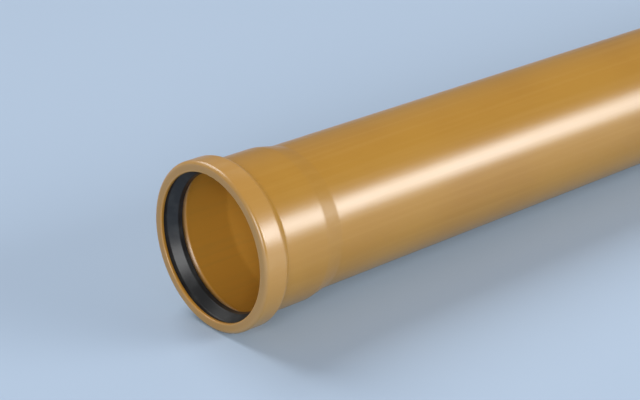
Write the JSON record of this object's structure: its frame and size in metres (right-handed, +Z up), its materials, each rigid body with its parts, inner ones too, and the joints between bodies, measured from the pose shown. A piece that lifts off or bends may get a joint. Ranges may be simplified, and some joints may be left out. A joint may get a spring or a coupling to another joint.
{
  "type": "sewer pipe",
  "caption": "Straight plastic sewer pipe lying on the ground, with a beaded push-fit socket holding a rubber sealing ring at one end and a chamfered spigot at the other.",
  "frame": {"origin": "on the ground under the middle of the pipe's length", "axes": "+X along the pipe from the socket's mouth to the spigot, dipping 0.47 degrees because the bead is wider than the barrel; +Z up; +Y completes the right-handed frame"},
  "size_m": [1.0619, 0.1268, 0.1271],
  "materials": {
    "pvc": "satin",
    "seal_rubber": "satin"
  },
  "bodies": {
    "root": {"pipe": "pvc", "seal_ring": "seal_rubber"}
  },
  "joints": []
}
